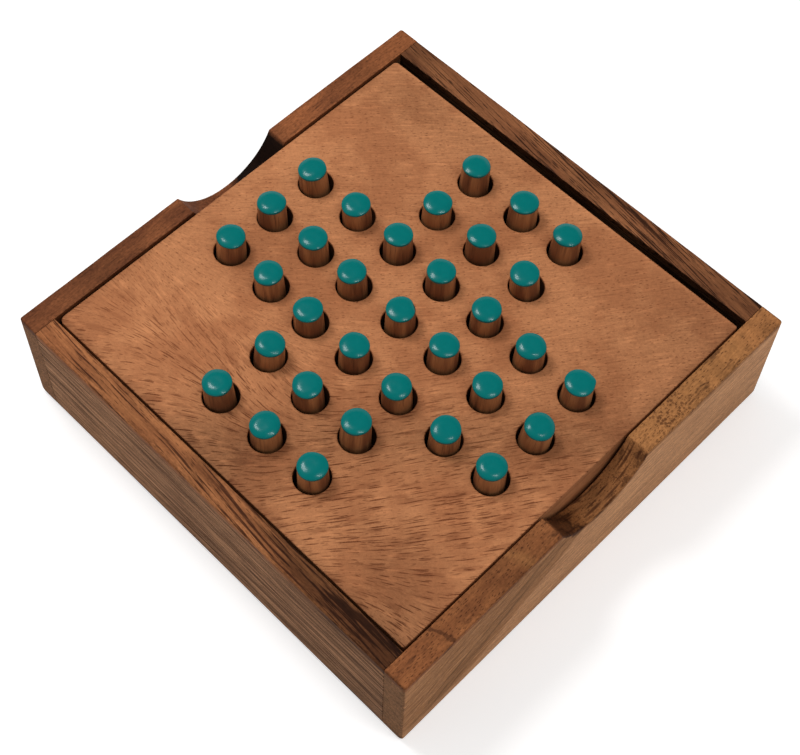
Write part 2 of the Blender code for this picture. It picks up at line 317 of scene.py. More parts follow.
def boardOutline(steps, inset):
    # the same number of points round the board: each corner is a quarter circle shared by two sides
    cornerSteps, rounds = board["cornerSteps"], np.array(board["cornerRounds"])
    spots = np.array([[(boardHigh if a > 0 else boardLow)[0], (boardHigh if b > 0 else boardLow)[1]]
                      for a, b in corners])
    middles = spots - np.array(corners) * rounds[:, None]
    sizes = np.maximum(rounds - inset, board["sharpest"])
    shares = np.linspace(0, 1, steps - 2 * cornerSteps + 1)[1:-1, None]
    loops = []
    for k in range(4):
        after = (k + 1) % 4
        start = middles[k] + sizes[k] * rays(np.linspace(45, 90, cornerSteps + 1) + 90 * k)
        finish = middles[after] + sizes[after] * rays(np.linspace(90, 135, cornerSteps + 1)[:-1] + 90 * k)
        loops += [start, start[-1] + (finish[0] - start[-1]) * shares, finish]
    return np.concatenate(loops)


def lifted(spots, z):
    return np.c_[spots, np.full(len(spots), z)]


def roundedDrop(radius, turn):
    # how far a quarter circle still stands out, and how far it has come down, after this much of its turn
    return radius * (1 - math.sin(turn)), radius * (1 - math.cos(turn))


def plainCell(outer, middle):
    # squares that shrink to the middle; a ring comes with how deep it lies and how worn it is
    return [(lifted(middle + (outer - middle) * share, boardHigh[2]), 0, 0) for share in board["plainShares"]]


def holeCell(outer, middle):
    # the square narrows to the mouth's circle, turns down by a quarter circle over the lip, sinks down the
    # wall and shrinks to nothing on the floor
    top, radius, depth = boardHigh[2], board["holeRadius"], board["holeDepth"]
    ray = outer - middle
    ray = ray / np.linalg.norm(ray, axis=1, keepdims=True)
    mouth = middle + ray * (radius + board["lip"])
    rings = [(lifted(outer + (mouth - outer) * share, top), 0, 0) for share in board["mouthShares"]]
    for turn in board["turns"]:
        across, down = roundedDrop(board["lip"], turn)
        rings.append((lifted(middle + ray * (radius + across), top - down), down / depth, 1))
    for down in board["wallDepths"]:
        rings.append((lifted(middle + ray * radius, top - down), down / depth, 0.5))
    for share in board["floorShares"]:
        rings.append((lifted(middle + ray * radius * share, top - depth), 1, 0))
    return rings


def boardSides(block):
    # the cells' outer square widens to the board's outline, turns down by a quarter circle, sinks down the
    # sides, turns in by a second one and shrinks to the underside's middle
    steps = len(block) // 4
    edge, bottom, top = board["edgeRound"], boardLow[2], boardHigh[2]
    rim = boardOutline(steps, edge + board["rimInset"])
    rings = [(lifted(block + (rim - block) * share, top), 0, 0) for share in (0, 0.5, 1)]
    for turn in board["turns"]:
        inset, down = roundedDrop(edge, turn)
        rings.append((lifted(boardOutline(steps, inset), top - down), 0, 1))
    for share in board["sideShares"]:
        z = top - edge - (top - bottom - 2 * edge) * share
        rings.append((lifted(boardOutline(steps, 0), z), 0, 0.3))
    for turn in board["turns"][::-1]:
        inset, up = roundedDrop(edge, turn)
        rings.append((lifted(boardOutline(steps, inset), bottom + up), 0, 1))
    middle = rim.mean(0)
    for share in board["underShares"]:
        rings.append((lifted(middle + (rim - middle) * share, bottom), 0, 0))
    return rings


def boardPiece():
    middles = holeMiddles()
    reach, half = board["places"] // 2, board["pitch"] / 2
    grid = sum(middles[key] for key in ((-reach, 0), (reach, 0), (0, -reach), (0, reach))) / 4
    square = squareLoop(board["sideSteps"]) * half
    patches = []
    for i in range(-reach, reach + 1):
        for j in range(-reach, reach + 1):
            cell = grid + board["pitch"] * np.array([i, j])
            hole = middles.get((i, j))
            patches.append(plainCell(cell + square, cell) if hole is None else holeCell(cell + square, hole))
    block = squareLoop(board["sideSteps"] * board["places"]) * half * board["places"]
    patches.append(boardSides(grid + block))
    points, faces, deep, wear = [], [], [], []
    count = 0
    for patch in patches:
        rings, depths, worn = (np.array(column, float) for column in zip(*patch))
        points.append(rings.reshape(-1, 3))
        faces.append(gridFaces(*rings.shape[:2], count))
        deep.append(np.repeat(depths, rings.shape[1]))
        wear.append(np.repeat(worn, rings.shape[1]))
        count += len(points[-1])
    points, faces, deep, wear = (np.concatenate(column) for column in (points, faces, deep, wear))
    values = {"deep": deep, "wear": wear}
    return newPiece("board", points, faces, values, "board", ["peg_board"])


boardObject = boardPiece()
print("board:", len(boardObject.data.polygons), "faces")


# The pegs: each is a turned profile whose paint laps over its end by a hand-dipped, wavy edge.

peg = {
    "sides": 64,
    "footRing": 0.7,  # the CAD points this close to its foot give the foot's middle
    "domeSlope": 0.34,  # slope of the painted end at this many millimetres from its middle;
    "domeAt": 2.6,  # up to there it grows with the cube of the distance, so the middle is
    "domeGrowth": 0.20,  # nearly flat, and from there on by this much for each millimetre
    "slopeSpread": (0.85, 1.15),
    "domeShares": (0, 0.15, 0.28, 0.38, 0.47, 0.55, 0.62, 0.69, 0.76, 0.83, 0.9, 0.95, 1),
    "shoulder": 0.35,  # radius of its rounded edge
    "steep": 84,  # degrees down of the shoulder's last ring
    "shoulderRings": 9,
    "sideAt": 1.2,  # how far under the top the painted side's thickness is taken
    "sink": 0.12,  # how far it stays under the CAD top, so that leaning pegs don't rise over theirs
    "slim": 0.10,  # how much thinner the wood is than its CAD solid
    "taper": 0.45,
    "paint": 0.05,  # thickness of the paint's edge over the wood
    "lap": 1.25,  # how far the paint comes down from the top
    "lapSpread": 0.10,
    "lapWave": 0.16,  # how uneven its edge is
    "lapSines": ((2, 1, 0.5), (3, 2.3, 0.35), (7, 1.3, 0.22)),
    "swellSines": ((2, 1, 0.04), (3, 2.1, 0.03), (6, 3.7, 0.015)),
    "lump": 0.014,  # unevenness of the paint's surface
    "skirt": ((0.35, 1), (0.7, 1), (0.92, 1), (1, 0.75)),  # shares of the way down and of the thickness
    # rings under the edge: how far down, and the shares left of the paint's thickness and of the swell
    "offEdge": ((0.05, 0.25, 0.3), (0.10, 0, 0.3), (0.4, 0, 0), (1.2, 0, 0)),
    "woodInset": 0.02,
    "woodShares": (0.15, 0.3, 0.5, 0.7, 0.9, 0.99),
    "woodFoot": 0.5,
    "footRounds": ((0.06, 0.42), (0.22, 0.2), (0.46, 0.03), (0.6, 0)),  # how far in and how high
    "patternShift": 7,  # millimetres for each unit of its seed, so that no two pegs share their grain
}
# dents or bumps in single painted ends: (direction in degrees, size, half-width in degrees)
pegBumps = {"d4": (60, -0.45, 24), "g5": (55, 0.30, 14), "d5": (110, -0.12, 30), "e5": (-60, -0.1, 25)}
evenEnd = (0, 0, 20)


def pegStance(name):
    # where a CAD peg's foot stands, the direction of its axis, its length and its foot's radius
    spots = pointsOf(f"peg_{name}")
    axis = np.array(next(j["axis"] for j in frame["joints"] if j["child"] == f"peg_{name}_body"))
    axis /= np.linalg.norm(axis)
    heights = spots @ axis
    foot = spots[heights < heights.min() + peg["footRing"]].mean(0)
    foot = foot + axis * (heights.min() - foot @ axis)
    apart = spots - foot
    radius = np.linalg.norm(apart - np.outer(apart @ axis, axis), axis=1).max()
    return foot, axis, heights.max() - heights.min(), radius


def paintedRings(name, turn, seed, length, woodRadius):
    # radius and height of each ring from the end's middle down: a dome, then the shoulder's arc from the
    # dome's slope to a steep one, then a skirt to the paint's wavy edge
    chance = np.random.default_rng(ord(name[0]) * 10 + int(name[1]))
    domeSlope = peg["domeSlope"] * chance.uniform(*peg["slopeSpread"])
    lap = peg["lap"] + chance.uniform(-peg["lapSpread"], peg["lapSpread"])
    bumpAt, bumpSize, bumpWidth = pegBumps.get(name, evenEnd)
    apart = (np.degrees(turn) - bumpAt + 180) % 360 - 180
    swell = bumpSize * np.exp(-(apart / bumpWidth) ** 2) + sines(turn, seed, peg["swellSines"])
    at, growth, shoulder = peg["domeAt"], peg["domeGrowth"], peg["shoulder"]
    steep = math.radians(peg["steep"])

    def slopeAt(r):
        return domeSlope * (min(r, at) / at) ** 3 + growth * max(r - at, 0)

    def dropAt(r):
        # what the slope adds up to from the middle out to r
        beyond = max(r - at, 0)
        return domeSlope * (min(r, at) ** 4 / (4 * at ** 3) + beyond) + growth * beyond ** 2 / 2

    def lumps(r):
        waves = np.sin(r * np.cos(turn) * 1.9 + seed) + np.sin(r * np.sin(turn) * 2.3 + seed * 1.7)
        return peg["lump"] * (waves - 2)

    side = woodRadius(length - peg["sideAt"]) + peg["paint"]
    flat, lean = side, 0.5
    for _ in range(12):  # where the dome's slope and the shoulder's meet
        flat = side - shoulder * (math.sin(steep) - math.sin(lean))
        lean = math.atan(slopeAt(flat))
    rings = []
    for share in peg["domeShares"]:
        height = length - peg["sink"] - dropAt(flat * share)
        r = (flat + swell * share) * share
        rings.append((r, height + lumps(r) * (1 - share * 0.6)))
    sheer = rings[-1][1]
    for slope in np.linspace(lean, steep, peg["shoulderRings"])[1:]:
        r = flat + swell + shoulder * (math.sin(slope) - math.sin(lean))
        rings.append((r, sheer - shoulder * (math.cos(lean) - math.cos(slope))))
    last = rings[-1][1]
    edge = np.minimum(length - lap - peg["lapWave"] * sines(turn, seed, peg["lapSines"]), last - 0.08)
    for share, thick in peg["skirt"]:
        z = last + (edge - last) * share
        rings.append((woodRadius(z) + peg["paint"] * thick + swell * (1 - share * 0.7), z))
    return rings, edge, swell


def woodRings(edge, swell, footRadius, woodRadius):
    # from the paint's edge onto the wood, straight down its taper and round the foot to its middle
    rings = []
    for drop, thick, swollen in peg["offEdge"]:
        z = edge - drop
        rings.append((woodRadius(z) - peg["woodInset"] + peg["paint"] * thick + swell * swollen, z))
    low = rings[-1][1]
    for share in peg["woodShares"]:
        z = low + (peg["woodFoot"] - low) * share
        rings.append((woodRadius(z) - peg["woodInset"], z))
    foot = [(footRadius - inset, z) for inset, z in peg["footRounds"]] + [(footRadius / 2, 0), (0, 0)]
    return rings + [(np.full_like(edge, r), np.full_like(edge, z)) for r, z in foot]


def pegPiece(name):
    # the rings are turned round the peg's own axis and then stood on its foot, along its lean
    foot, axis, length, footRadius = pegStance(name)
    seed = ord(name[0]) * 1.7 + int(name[1]) * 4.3
    turn = np.linspace(0, 2 * np.pi, peg["sides"], endpoint=False)

    def woodRadius(z):
        return footRadius - peg["slim"] - peg["taper"] * z / length

    painted, edge, swell = paintedRings(name, turn, seed, length, woodRadius)
    rings = painted + woodRings(edge, swell, footRadius, woodRadius)
    radius, height = (np.stack(column) for column in zip(*rings))
    own = np.stack([radius * np.cos(turn), radius * np.sin(turn), height], -1).reshape(-1, 3)
    turnTo = Vector((0, 0, 1)).rotation_difference(Vector(axis)).to_matrix()
    shift = np.array([seed, seed * 0.7, 0]) * peg["patternShift"]
    values = {"paint": np.repeat([1.0] * len(painted) + [0.0] * (len(rings) - len(painted)), len(turn)),
              "own": (own + shift) * mm, "up": own[:, 2] / length}
    return newPiece(f"{name}_peg", own @ np.array(turnTo).T + foot, gridFaces(len(rings), len(turn)), values,
                    f"peg_{name}_body", [f"peg_{name}"])


pegNames = sorted(n[4:] for n in frame["nodes"] if n.startswith("peg_") and n != "peg_board")
pegs = {name: pegPiece(name) for name in pegNames}
print("pegs:", len(pegs))


# Shader building

def tone(red, green, blue):
    # a colour as a paint program shows it, made linear
    shown = (c / 255 for c in (red, green, blue))
    return tuple(c / 12.92 if c < 0.0404 else ((c + 0.055) / 1.055) ** 2.4 for c in shown)


def operation(name, swap=False):
    # what one sign does in class Num; swap is for a plain number on its left
    def written(self, other):
        return self.math(name, other, swap=swap)
    return written


class Num:
    # a number on its way through a material: sums written with it add their Math nodes
    def __init__(self, tree, socket):
        self.tree, self.socket = tree, socket

    def math(self, operation, *others, swap=False):
        values = [self, *others]
        node = self.tree.nodes.new("ShaderNodeMath")
        node.operation = operation
        for socket, value in zip(node.inputs, values[::-1] if swap else values):
            feed(self.tree, socket, value)
        return Num(self.tree, node.outputs[0])

    def __neg__(self):
        return self * -1.0

    __add__ = __radd__ = operation("ADD")
    __mul__ = __rmul__ = operation("MULTIPLY")
    __sub__, __rsub__ = operation("SUBTRACT"), operation("SUBTRACT", swap=True)
    __truediv__, __rtruediv__ = operation("DIVIDE"), operation("DIVIDE", swap=True)


def feed(tree, socket, value):
    if isinstance(value, Num):
        tree.links.new(value.socket, socket)
    elif isinstance(value, bpy.types.NodeSocket):
        tree.links.new(value, socket)
    elif isinstance(value, (tuple, list)) and len(value) == 3 and len(socket.default_value) == 4:
        socket.default_value = (*value, 1)
    else:
        socket.default_value = value


class Paint:
    # one material and the nodes that it is made of
    def __init__(self, name, owner=None):
        self.material = owner or bpy.data.materials.new(name)
        self.material.use_nodes = True
        self.tree = self.material.node_tree
        self.tree.nodes.clear()

    def make(self, kind, settings=None, sockets=None, out=0):
        # out names the output that is wanted, or a tuple of several
        node = self.tree.nodes.new(kind)
        for key, value in (settings or {}).items():
            setattr(node, key, value)
        for key, value in (sockets or {}).items():
            feed(self.tree, node.inputs[key], value)
        if not node.outputs:
            return node
        several = isinstance(out, tuple)
        found = [node.outputs[key] for key in (out if several else (out,))]
        found = [Num(self.tree, socket) if socket.type == "VALUE" else socket for socket in found]
        return found if several else found[0]

    def split(self, vector, scale=1.0):
        parts = self.make("ShaderNodeSeparateXYZ", None, {0: vector}, (0, 1, 2))
        return parts if scale == 1.0 else [part * scale for part in parts]

    def cells(self, dimensions, vector, out):
        # cells round scattered points, about one to each unit of the vector
        return self.make("ShaderNodeTexVoronoi", {"voronoi_dimensions": dimensions},
                         {"Vector": vector, "Scale": 1.0}, out)

    def place(self):
        # the point's place on the finished object, in millimetres
        return self.split(self.make("ShaderNodeTexCoord", out="Object"), 1 / mm)

    def join(self, x, y, z=0.0):
        return self.make("ShaderNodeCombineXYZ", None, {0: x, 1: y, 2: z})

    def noise(self, place, look, shift=(0, 0, 0)):
        # look gives the cells to a millimetre in three directions, the detail and the roughness
        *cells, detail, rough = look
        moved = [value * many + by if by else value * many for value, many, by in zip(place, cells, shift)]
        return self.make("ShaderNodeTexNoise", {"noise_dimensions": "3D"},
                         {"Vector": self.join(*moved), "Scale": 1.0, "Detail": detail, "Roughness": rough})

    def step(self, value, low, high):
        return self.make("ShaderNodeMapRange", {"interpolation_type": "SMOOTHSTEP"},
                         {"Value": value, "From Min": low, "From Max": high})

    def mix(self, factor, a, b, blend="MIX"):
        settings = {"data_type": "RGBA", "blend_type": blend}
        return self.make("ShaderNodeMix", settings, {0: factor, 6: a, 7: b}, 2)

    def scale(self, colour, by):
        return self.make("ShaderNodeVectorMath", {"operation": "SCALE"}, {0: colour, "Scale": by})

    def blob(self, x, y, spot, size, turn=0.0):
        # 1 in the middle of a soft oval, 0 well outside it: exp(-(u^2 + v^2)) in the oval's own turned frame
        c, s = math.cos(math.radians(turn)), math.sin(math.radians(turn))
        u = ((x - spot[0]) * c + (y - spot[1]) * s) * (1 / size[0])
        v = ((y - spot[1]) * c - (x - spot[0]) * s) * (1 / size[1])
        return (-(u * u + v * v)).math("EXPONENT")

    def attribute(self, name, vector=False):
        return self.make("ShaderNodeAttribute", {"attribute_name": name}, None, "Vector" if vector else "Fac")

    def finish(self, colour, rough, height, bump, constants):
        # bump is its strength and its height in millimetres
        normal = self.make("ShaderNodeBump", None,
                           {"Strength": bump[0], "Distance": bump[1] * mm, "Height": height})
        shader = self.make("ShaderNodeBsdfPrincipled", None,
                           {"Base Color": colour, "Roughness": rough, "Normal": normal, **constants})
        self.make("ShaderNodeOutputMaterial", None, {"Surface": shader})
        return self.material


def bell(value, at, width):
    # 1 where the value is `at`, falling softly to both sides
    return (-(((value - at) * (1 / width)).math("POWER", 2.0))).math("EXPONENT")


def bells(value, rows):
    # several of them added up, each (weight, place, width); a weight of -0.3 is 30% darker
    return sum(bell(value, at, width) * weight for weight, at, width in rows)


def wear(piece, material):
    piece.data.materials.clear()
    piece.data.materials.append(material)


# Woods of the walls, the strips and the bottom: solid patterns, stretched along the grain, so that the
# ends of a wall show their end grain. s runs along the grain, t across the wall, z up.

rimTop, endFace = boxOf("wall_right")[1][2], boxOf("wall_right")[1][1]
frontFace = boxOf("wall_front")[0][1]
wallSurface = {
    "drift": (0.03, 0.05, 0.05, 1, 0.5), "groups": (0.05, 0.25, 0.25, 2, 0.5),
    "fibres": (0.16, 3.2, 3.2, 4, 0.68), "mottle": (1.1, 1.7, 1.7, 3, 0.65),
    "brushed": (0.038, 2.2, 2.2, 4, 0.78),
    "rim": (2.6, 1.4), "ragged": 1.2,  # where the outer face ends, under the rim's top
    "bandEdge": (0.36, 0.64), "brushEdge": (0.40, 0.60),
    "innerFade": (0.02, 0.12), "worn": (0.56, 0.8),
    "bump": (0.5, 0.05), "gloss": {"Specular IOR Level": 0.05},
}


def pores(p, s, t, z, look, more):
    # dark dashes: the middles of long narrow cells, where a cell has one
    along, across = look["every"]
    place = p.join(s * (1 / along), t * (1 / across), z * (1 / across))
    near, cell = p.cells("3D", place, ("Distance", "Color"))
    chance, size, _ = p.split(cell)
    reach = look["size"] * (0.6 + size * 0.6)
    return (1 - p.step(near, reach * 0.4, reach)) * p.step(chance + more, look["bare"], look["bare"] + 0.2)


def wallWood(name, look, line, innerFace=None, figure=None):
    # figure gives what a wall's own drawing adds: to its dark lines, its tone, its pale parts and its pores
    p, surface, shift = Paint(name), wallSurface, look["shift"]
    x, y, z = p.place()
    s, t = (y, x) if line else (x, y)
    drift = p.noise((s, t, z), surface["drift"], (shift, 0, 0)) * look["drift"]
    t2, z2 = t + s * look["slope"] + drift, z + drift * 0.6
    bands = p.noise((s, t2, z2), look["band"], (0, shift, 0))
    groups = p.noise((s, t2, z2), surface["groups"], (shift * 2, 0, 0)) - 0.5
    fibres = p.noise((s, t2, z2), surface["fibres"], (0, 0, shift))
    lines = p.noise((s, t2, z2), look["streak"], (shift, 0, 0))
    mottle = p.noise((s, t, z), surface["mottle"], (0, 0, shift))
    brushed = p.noise((s, t, z2), surface["brushed"], (shift, 0, 0))
    scoop = p.attribute("scoop")
    extra = figure(p, look, x, y, z, scoop) if figure else {}
    # the outer faces are greyer than the rounded rim above them, and brushed along the grain; their side
    # tones are partly painted light, set for how much light falls on each wall's side
    low, high = (rimTop - under for under in surface["rim"])
    side = (1 - p.step(z + (mottle - 0.5) * surface["ragged"], low, high)) * (1 - scoop)
    clear = 1 - side * look["sideCalm"]
    colour = p.mix(p.step(bands, *surface["bandEdge"]), look["pale"], look["mid"])
    if "pale" in extra:
        colour = p.mix(extra["pale"], colour, look["golden"])
    sideTone = p.mix(p.step(brushed, *surface["brushEdge"]), look["sideDark"], look["sidePale"])
    colour = p.mix(side, colour, sideTone)
    dark = p.step(lines + groups * look["group"] + extra.get("lines", 0), *look["edge"]) * clear
    colour = p.mix(dark * look["depth"], colour, look["dark"])
    holes = pores(p, s, t2, z2, look["pore"], groups * 0.5 + extra.get("pores", 0)) * clear
    if "coarse" in extra:
        coarse = pores(p, s, t2, extra["level"], look["coarsePore"], groups * 0.5)
        holes = holes.math("MAXIMUM", coarse * extra["coarse"])
    colour = p.mix(holes * look["pore"]["depth"], colour, look["pore"]["colour"])
    light = 1 + (fibres - 0.5) * look["fibre"] + (mottle - 0.5) * look["mottle"]
    light = light + (brushed - 0.5) * side * look["brush"]
    if "shade" in extra:
        light = light * extra["shade"]
    if "stain" in extra:
        colour = p.mix(extra["stain"], colour, look["stain"], "MULTIPLY")
    if innerFace:
        # painted shade: the faces towards the inside, in the gap beside the board, are darkened
        low, high = (innerFace + beyond for beyond in surface["innerFade"])
        light = light * (1 - (1 - p.step(t.math("ABSOLUTE"), low, high)) * look["inner"])
    even, strength = surface["worn"]
    light = light * (1 + p.attribute("wear") * (mottle - even) * strength)
    rough = 0.50 + fibres * 0.14 + side * 0.10
    height = fibres * 0.5 - holes * 1.3 - dark * 0.2 + mottle * 0.2
    return p.finish(p.scale(colour, light), rough, height, surface["bump"], surface["gloss"])


# band and streak are noises; pairs such as edge and rim are where a soft step starts and ends
# the side tones are partly painted light, set for how much light falls on each side
brushedSide = {"sidePale": tone(174, 128, 93), "sideDark": tone(98, 64, 41), "sideCalm": 0.6, "brush": 1.9}
# inner is how far the faces towards the inside are darkened: painted shade in the gap beside the board
woods = {
    "front": {
        **brushedSide, "pale": tone(168, 108, 67), "mid": tone(134, 82, 50), "dark": tone(60, 29, 16),
        "shift": 37.0, "drift": 2.0, "slope": 0.05, "band": (0.04, 0.35, 0.35, 3, 0.55),
        "streak": (0.055, 1.5, 1.5, 3, 0.6), "edge": (0.52, 0.62), "group": 0.18, "depth": 0.88,
        "fibre": 1.2, "mottle": 0.7, "inner": 0.3,
        "pore": {"every": (3.0, 0.34), "size": 0.34, "bare": 0.30, "depth": 0.7, "colour": tone(60, 32, 20)},
        "rim": (31.5, 34.0), "tones": [(-0.18, -4, 5.0), (0.28, -56, 12.0), (-0.08, -28, 6.0)],
        "lined": (-25, 12), "linedAcross": (0.2, 4.5), "farEnd": (46, 56),
        "heart": (20, 40), "heartSlant": 3.0, "heartEdge": (0.10, 1.2, 0.8, 2, 0.5), "heartRagged": 26,
        "footZ": (3, 11), "footX": (-30, 20), "sideX": (18, 50),
    },
    "back": {
        **brushedSide, "pale": tone(148, 95, 61), "mid": tone(124, 77, 49), "dark": tone(40, 20, 11),
        "shift": 53.0, "drift": 1.2, "slope": 0.125, "band": (0.03, 0.28, 0.28, 3, 0.55),
        "streak": (0.050, 3.0, 3.0, 3, 0.6), "edge": (0.52, 0.585), "group": 0.24, "depth": 0.90,
        "fibre": 1.2, "mottle": 0.5, "inner": 0.80,
        "pore": {"every": (4.2, 0.50), "size": 0.42, "bare": 0.25, "depth": 0.8, "colour": tone(46, 26, 17)},
        "lined": (-25, 10),
        "tones": [(-0.30, -56, 6.0), (0.12, -20, 9.0), (-0.16, 6, 5.0), (0.20, 22, 8.0), (-0.18, 52, 13.0)],
    },
    "right": {
        "pale": tone(150, 94, 56), "mid": tone(126, 76, 45), "dark": tone(62, 34, 22),
        "golden": tone(176, 120, 72), "stain": (1.0, 0.92, 0.82),
        "sidePale": tone(214, 160, 116), "sideDark": tone(180, 129, 91), "sideCalm": 0.7, "brush": 0.7,
        "shift": 11.0, "drift": 2.5, "slope": 0.02,
        "band": (0.10, 0.26, 0.26, 3, 0.55), "streak": (0.16, 0.6, 0.6, 3, 0.6), "edge": (0.58, 0.72),
        "group": 0.2, "depth": 0.6, "fibre": 0.95, "mottle": 0.9, "inner": 0.3,
        "pore": {"every": (1.2, 0.33), "size": 0.40, "bare": 0.25, "depth": 0.85, "colour": tone(74, 40, 23)},
        "coarsePore": {"every": (6.5, 0.80), "size": 0.66, "bare": 0.25},
        "rim": (32.0, 34.0), "tones": [(0.20, -60, 7.0), (-0.20, -30, 11.0), (-0.14, 40, 16.0)],
        "uneven": (0.12, 0.3, 0.2, 2, 0.5), "waves": (0.30, 0.12, 0.1, 1, 0.5), "wavy": (26, 42),
        "streaks": (0.55, 0.035, 0.3, 3, 0.6), "wallMiddle": 62, "ringAcross": 0.36, "ringDown": 2.1,
        "darkRing": (-50.5, 0.65), "paleRing": [(0.45, -25.5, 1.6)],
        "goldenFrom": (-6, 14), "goldenEnd": (50, 57),
        "burnt": [(0.36, -11.2, 3.4), (0.10, 13.5, 2.0)],
        "slantDown": 1.7, "slantEdge": (7, 12), "slantDark": [(0.12, -6, 7.0)], "slantEnd": (82, 100),
        "foot": (3, 6), "poreMore": [(0.30, 24.0, 6.0)], "poreLess": (32, 42), "coarseAt": [(0.9, 26, 9.0)],
    },
    "left": {
        "pale": tone(128, 76, 46), "mid": tone(108, 62, 38), "dark": tone(70, 38, 25),
        "golden": tone(150, 90, 54),
        "sidePale": tone(165, 118, 82), "sideDark": tone(122, 82, 54), "sideCalm": 0.8, "brush": 0.6,
        "shift": 23.0, "drift": 2.0, "slope": 0.02, "band": (0.07, 0.24, 0.24, 3, 0.55),
        "streak": (0.07, 0.8, 0.8, 3, 0.6), "edge": (0.58, 0.74), "group": 0.2, "depth": 0.5,
        "fibre": 1.2, "mottle": 1.3, "inner": 0.5,
        "pore": {"every": (1.5, 0.34), "size": 0.34, "bare": 0.45, "depth": 0.55, "colour": tone(56, 32, 20)},
        "tones": [(-0.22, -42, 9.0), (0.10, -22, 6.0), (0.20, 26, 9.0), (-0.14, 48, 6.0)],
        "charred": (2.5, 6.5), "charEdge": (0.5, 0.5, 0.5, 2, 0.5), "charRagged": 4,
        "goldenFrom": (14, 24), "goldenLess": [(0.45, 38, 12.0)],
    },
    "inside": {
        "pale": tone(176, 142, 104), "mid": tone(158, 122, 86), "dark": tone(120, 84, 56),
        "sidePale": tone(176, 142, 104), "sideDark": tone(150, 115, 80), "sideCalm": 0.3, "brush": 0.4,
        "shift": 71.0, "drift": 2.0, "slope": 0.02, "band": (0.03, 0.18, 0.18, 3, 0.55),
        "streak": (0.04, 0.8, 0.8, 3, 0.6), "edge": (0.58, 0.74), "group": 0.2, "depth": 0.5,
        "fibre": 0.5, "mottle": 0.3,
        "pore": {"every": (3.0, 0.40), "size": 0.30, "bare": 0.5, "depth": 0.4, "colour": tone(100, 66, 42)},
    },
}


def endGrain(p, y):
    # 1 on the end faces of the walls that run the whole length
    return p.step(y.math("ABSOLUTE"), endFace - 0.55, endFace - 0.15)


def frontFigure(p, look, x, y, z, scoop):
    # dark heartwood sets in on the inner half of the rim and takes all of it towards +X
    across = y - frontFace
    rim = p.step(z, *look["rim"])
    ragged = (p.noise((x, y, z), look["heartEdge"]) - 0.5) * look["heartRagged"]
    heart = p.step(x + across * look["heartSlant"] + ragged, *look["heart"]) * rim
    lines = p.step(x, *look["lined"]) * p.step(across, *look["linedAcross"]) * rim * 0.05 + heart * 0.032
    shade = 1 - heart * 0.58 + rim * (bells(x, look["tones"]) - p.step(x, *look["farEnd"]) * 0.08)
    foot = (1 - p.step(z, *look["footZ"])) * p.step(x, *look["footX"]) * 0.18
    foot = foot + p.step(x, *look["sideX"]) * 0.12
    return {"lines": lines, "shade": shade - (1 - rim) * foot}


def backFigure(p, look, x, y, z, scoop):
    right = p.step(x, *look["lined"])
    shade = 0.92 + bells(x, look["tones"])
    return {"shade": shade, "lines": right * 0.035 - 0.035, "pores": right * 0.35 - 0.15}


def rightFigure(p, look, x, y, z, scoop):
    # the rings rise towards +Y, so a line across the rim runs down the outer face as a slant
    uneven = (p.noise((y, x, z), look["uneven"]) - 0.5) * 3
    down = z - rimTop
    ring = y - (x - look["wallMiddle"]) * look["ringAcross"] - down * look["ringDown"] + uneven * 0.6
    rim = p.step(z, *look["rim"])
    lines = bell(ring, *look["darkRing"]) * (0.12 + rim * 0.22) + scoop * (bells(y, look["burnt"]) + 0.04)
    pale = p.step(ring, *look["goldenFrom"]) * (1 - p.step(y, *look["goldenEnd"]) * rim * 0.3) * 0.85
    pale = pale + bells(ring, look["paleRing"])
    waves = (p.noise((y, x, z), look["waves"]) - 0.5) * p.step(y, *look["wavy"]) * 0.9
    shade = 1 + rim * (waves + bells(y, look["tones"]))
    # below the rim, all above a slant line is darker, most of all along the line
    slant = y - down * look["slantDown"] + uneven * 1.6
    ends = endGrain(p, y)
    above = 1 - (1 - p.step(z, *look["foot"])) * (1 - ends)
    above = (1 - p.step(slant, *look["slantEdge"])) * above * (1 - rim)
    streaks = p.step(p.noise((slant, y, x), look["streaks"]), 0.50, 0.66)
    shade = shade - above * (0.29 + streaks * 0.26 + bells(slant, look["slantDark"]))
    shade = shade - (1 - rim) * p.step(slant, *look["slantEnd"]) * 0.08
    # the coarse pores of the scoop lie round the axis of its circle
    circle = walls["right"]["scoop"]
    rise = down + (circle["deep"] - circle["radius"])
    return {"level": (y * y + rise * rise).math("SQRT"), "lines": lines,
            "shade": shade * (1 - scoop * 0.16) * (1 - ends * 0.42),
            "stain": above * 0.9, "pale": pale * (1 - scoop * 0.45),
            "pores": scoop * 0.15 + bells(y, look["poreMore"]) - p.step(y, *look["poreLess"]) * 0.10,
            "coarse": scoop * 0.95 + rim * (1 - scoop) * bells(y, look["coarseAt"])}


def leftFigure(p, look, x, y, z, scoop):
    # the far half of this scoop was cut hot and is charred nearly black
    charred = p.step(y + p.noise((y, x, z), look["charEdge"]) * look["charRagged"], *look["charred"]) * scoop
    shade = (1 + bells(y, look["tones"])) * (1 - charred * 0.95) * (1 - endGrain(p, y) * 0.20)
    return {"shade": shade, "pale": p.step(y, *look["goldenFrom"]) * (0.75 - bells(y, look["goldenLess"]))}


figures = {"left": leftFigure, "right": rightFigure, "front": frontFigure, "back": backFigure}
for name, figure in figures.items():
    line = walls[name]["along"]
    innerFace = min(abs(corner[1 - line]) for corner in boxOf(f"wall_{name}"))
    wear(wallPieces[name], wallWood(f"{name}_wall_wood", woods[name], line, innerFace, figure))
insideWood = [wallWood("inside_wood_x", woods["inside"], 0), wallWood("inside_wood_y", woods["inside"], 1)]
for name, look in inside.items():
    wear(insidePieces[name], insideWood[look["along"]])
print("wall woods made")


# The board's wood: its grain turns from place to place, so its dashes and fibres read a field of angles.

